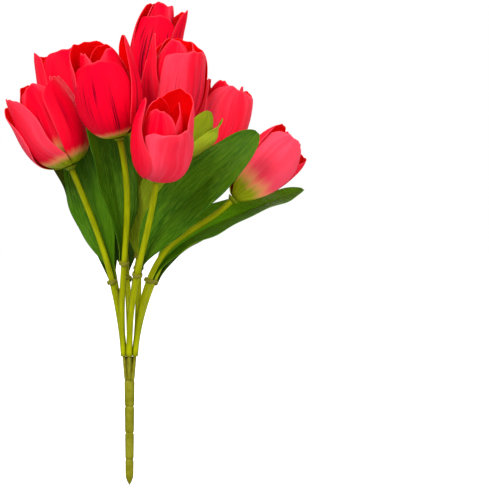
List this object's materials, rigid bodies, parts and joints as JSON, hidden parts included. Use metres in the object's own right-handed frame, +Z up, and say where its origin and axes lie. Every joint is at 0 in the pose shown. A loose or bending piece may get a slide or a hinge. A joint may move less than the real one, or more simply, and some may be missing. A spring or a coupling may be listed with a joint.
{
  "type": "artificial tulip bouquet",
  "caption": "Bouquet of artificial tulips: flower heads and leaves on wired stems that fan out from one slim grooved trunk.",
  "frame": {"origin": "point of the trunk's foot", "axes": "+Z up along the trunk, -Y to the front of the bouquet, +X to its right"},
  "size_m": [0.21, 0.2216, 0.343],
  "materials": {
    "trunk_plastic": "moulded, satin",
    "stem_plastic": "extruded, satin",
    "wire_steel": "drawn",
    "leaf_plastic": "embossed with fine veins",
    "hub_plastic": "moulded, satin",
    "outer_petal": "soft touch, yellow-green at the base",
    "inner_petal": "soft touch"
  },
  "bodies": {
    "trunk": {"trunk": "trunk_plastic"},
    "stem_1": {"stem_sleeve_1": "stem_plastic", "stem_wire_1": "wire_steel"},
    "leaf_1": {"leaf_1": "leaf_plastic"},
    "head_1": {"receptacle_1": "hub_plastic", "outer_petals_1": "outer_petal", "inner_petals_1": "inner_petal"},
    "stem_2": {"stem_sleeve_2": "stem_plastic", "stem_wire_2": "wire_steel"},
    "leaf_2": {"leaf_2": "leaf_plastic"},
    "head_2": {"receptacle_2": "hub_plastic", "outer_petals_2": "outer_petal", "inner_petals_2": "inner_petal"},
    "stem_3": {"stem_sleeve_3": "stem_plastic", "stem_wire_3": "wire_steel"},
    "leaf_3": {"leaf_3": "leaf_plastic"},
    "head_3": {"receptacle_3": "hub_plastic", "outer_petals_3": "outer_petal", "inner_petals_3": "inner_petal"},
    "stem_4": {"stem_sleeve_4": "stem_plastic", "stem_wire_4": "wire_steel"},
    "leaf_4": {"leaf_4": "leaf_plastic"},
    "head_4": {"receptacle_4": "hub_plastic", "outer_petals_4": "outer_petal", "inner_petals_4": "inner_petal"},
    "stem_5": {"stem_sleeve_5": "stem_plastic", "stem_wire_5": "wire_steel"},
    "leaf_5": {"leaf_5": "leaf_plastic"},
    "head_5": {"receptacle_5": "hub_plastic", "outer_petals_5": "outer_petal", "inner_petals_5": "inner_petal"},
    "stem_6": {"stem_sleeve_6": "stem_plastic", "stem_wire_6": "wire_steel"},
    "leaf_6": {"leaf_6": "leaf_plastic"},
    "head_6": {"receptacle_6": "hub_plastic", "outer_petals_6": "outer_petal", "inner_petals_6": "inner_petal"},
    "stem_7": {"stem_sleeve_7": "stem_plastic", "stem_wire_7": "wire_steel"},
    "leaf_7": {"leaf_7": "leaf_plastic"},
    "head_7": {"receptacle_7": "hub_plastic", "outer_petals_7": "outer_petal", "inner_petals_7": "inner_petal"},
    "stem_8": {"stem_sleeve_8": "stem_plastic", "stem_wire_8": "wire_steel"},
    "leaf_8": {"leaf_8": "leaf_plastic"},
    "head_8": {"receptacle_8": "hub_plastic", "outer_petals_8": "outer_petal", "inner_petals_8": "inner_petal"},
    "stem_9": {"stem_sleeve_9": "stem_plastic", "stem_wire_9": "wire_steel"},
    "leaf_9": {"leaf_9": "leaf_plastic"},
    "head_9": {"receptacle_9": "hub_plastic", "outer_petals_9": "outer_petal", "inner_petals_9": "inner_petal"}
  },
  "joints": [
    {"name": "stem_1_bend", "type": "hinge", "parent": "trunk", "child": "stem_1", "pos_m": [-0.00381, 0, 0.091], "axis": [0.2209, -0.9753, 0], "range_deg": [0, 30]},
    {"name": "leaf_1_turn", "type": "hinge", "parent": "stem_1", "child": "leaf_1", "pos_m": [-0.012, -0.0016, 0.14263], "axis": [-0.2336, -0.0608, 0.9704], "range_deg": [-15, 6]},
    {"name": "head_1_turn", "type": "hinge", "parent": "stem_1", "child": "head_1", "pos_m": [-0.03984, -0.00816, 0.22096], "axis": [-0.3898, -0.0698, 0.9183], "continuous": true},
    {"name": "stem_2_bend", "type": "hinge", "parent": "trunk", "child": "stem_2", "pos_m": [-0.00381, 0.0044, 0.091], "axis": [-0.1736, -0.9848, 0], "range_deg": [0, 30]},
    {"name": "leaf_2_turn", "type": "hinge", "parent": "stem_2", "child": "leaf_2", "pos_m": [-0.0096, 0.01249, 0.13566], "axis": [-0.1675, 0.2475, 0.9543], "range_deg": [-25, 8]},
    {"name": "head_2_turn", "type": "hinge", "parent": "stem_2", "child": "head_2", "pos_m": [-0.03648, 0.04176, 0.24434], "axis": [-0.2406, 0.1045, 0.965], "continuous": true},
    {"name": "stem_3_bend", "type": "hinge", "parent": "trunk", "child": "stem_3", "pos_m": [-0.00381, -0.0044, 0.091], "axis": [0.788, -0.6157, 0], "range_deg": [0, 30]},
    {"name": "leaf_3_turn", "type": "hinge", "parent": "stem_3", "child": "leaf_3", "pos_m": [-0.00306, -0.01559, 0.15591], "axis": [0.0783, -0.238, 0.9681], "range_deg": [-30, 20]},
    {"name": "head_3_turn", "type": "hinge", "parent": "stem_3", "child": "head_3", "pos_m": [-0.0048, -0.04032, 0.24004], "axis": [-0.2162, -0.2756, 0.9366], "continuous": true},
    {"name": "stem_4_bend", "type": "hinge", "parent": "trunk", "child": "stem_4", "pos_m": [0.00381, 0.0044, 0.091], "axis": [-0.866, 0.5, 0], "range_deg": [0, 14]},
    {"name": "leaf_4_turn", "type": "hinge", "parent": "stem_4", "child": "leaf_4", "pos_m": [0.00577, 0.01383, 0.15228], "axis": [-0.0139, 0.1957, 0.9806], "range_deg": [-50, 5]},
    {"name": "head_4_turn", "type": "hinge", "parent": "stem_4", "child": "head_4", "pos_m": [0.01056, 0.03456, 0.278], "axis": [0.1907, 0.0349, 0.981], "continuous": true},
    {"name": "stem_5_bend", "type": "hinge", "parent": "trunk", "child": "stem_5", "pos_m": [0, -0.0022, 0.091], "axis": [0.3746, 0.9272, 0], "range_deg": [0, 4]},
    {"name": "leaf_5_turn", "type": "hinge", "parent": "stem_5", "child": "leaf_5", "pos_m": [0.00686, -0.00182, 0.16046], "axis": [0.1875, 0.0409, 0.9814], "range_deg": [-25, 40]},
    {"name": "head_5_turn", "type": "hinge", "parent": "stem_5", "child": "head_5", "pos_m": [0.02496, -0.00384, 0.24696], "axis": [0.1549, -0.1392, 0.9781], "continuous": true},
    {"name": "stem_6_bend", "type": "hinge", "parent": "trunk", "child": "stem_6", "pos_m": [0, -0.0066, 0.091], "axis": [0.927, 0.3752, 0], "range_deg": [0, 30]},
    {"name": "leaf_6_turn", "type": "hinge", "parent": "stem_6", "child": "leaf_6", "pos_m": [0.00645, -0.02338, 0.14796], "axis": [0.1985, -0.404, 0.8929], "range_deg": [-50, 10]},
    {"name": "head_6_turn", "type": "hinge", "parent": "stem_6", "child": "head_6", "pos_m": [0.02064, -0.0576, 0.21105], "axis": [0.1229, -0.4695, 0.8744], "continuous": true},
    {"name": "stem_7_bend", "type": "hinge", "parent": "trunk", "child": "stem_7", "pos_m": [0.00381, 0, 0.091], "axis": [-0.4824, 0.876, 0], "range_deg": [0, 30]},
    {"name": "leaf_7_turn", "type": "hinge", "parent": "stem_7", "child": "leaf_7", "pos_m": [0.01636, 0.0077, 0.14262], "axis": [0.3612, 0.2588, 0.8959], "range_deg": [-20, 50]},
    {"name": "head_7_turn", "type": "hinge", "parent": "stem_7", "child": "head_7", "pos_m": [0.05088, 0.02592, 0.22096], "axis": [0.2924, 0, 0.9563], "continuous": true},
    {"name": "stem_8_bend", "type": "hinge", "parent": "trunk", "child": "stem_8", "pos_m": [0, 0.0022, 0.091], "axis": [-1, 0, 0], "range_deg": [0, 30]},
    {"name": "leaf_8_turn", "type": "hinge", "parent": "stem_8", "child": "leaf_8", "pos_m": [-0.00248, 0.01726, 0.14448], "axis": [-0.0833, 0.4641, 0.8819], "range_deg": [-50, 15]},
    {"name": "head_8_turn", "type": "hinge", "parent": "stem_8", "child": "head_8", "pos_m": [-0.0096, 0.05856, 0.21292], "axis": [-0.0632, 0.4226, 0.9041], "continuous": true},
    {"name": "stem_9_bend", "type": "hinge", "parent": "trunk", "child": "stem_9", "pos_m": [0.00381, -0.0044, 0.091], "axis": [-0.0084, 1, 0], "range_deg": [0, 30]},
    {"name": "leaf_9_turn", "type": "hinge", "parent": "stem_9", "child": "leaf_9", "pos_m": [0.01403, -0.00869, 0.14373], "axis": [0.3541, -0.0438, 0.9342], "range_deg": [-6, 20]},
    {"name": "head_9_turn", "type": "hinge", "parent": "stem_9", "child": "head_9", "pos_m": [0.07104, -0.00384, 0.19909], "axis": [0.7054, 0.0698, 0.7054], "continuous": true}
  ]
}
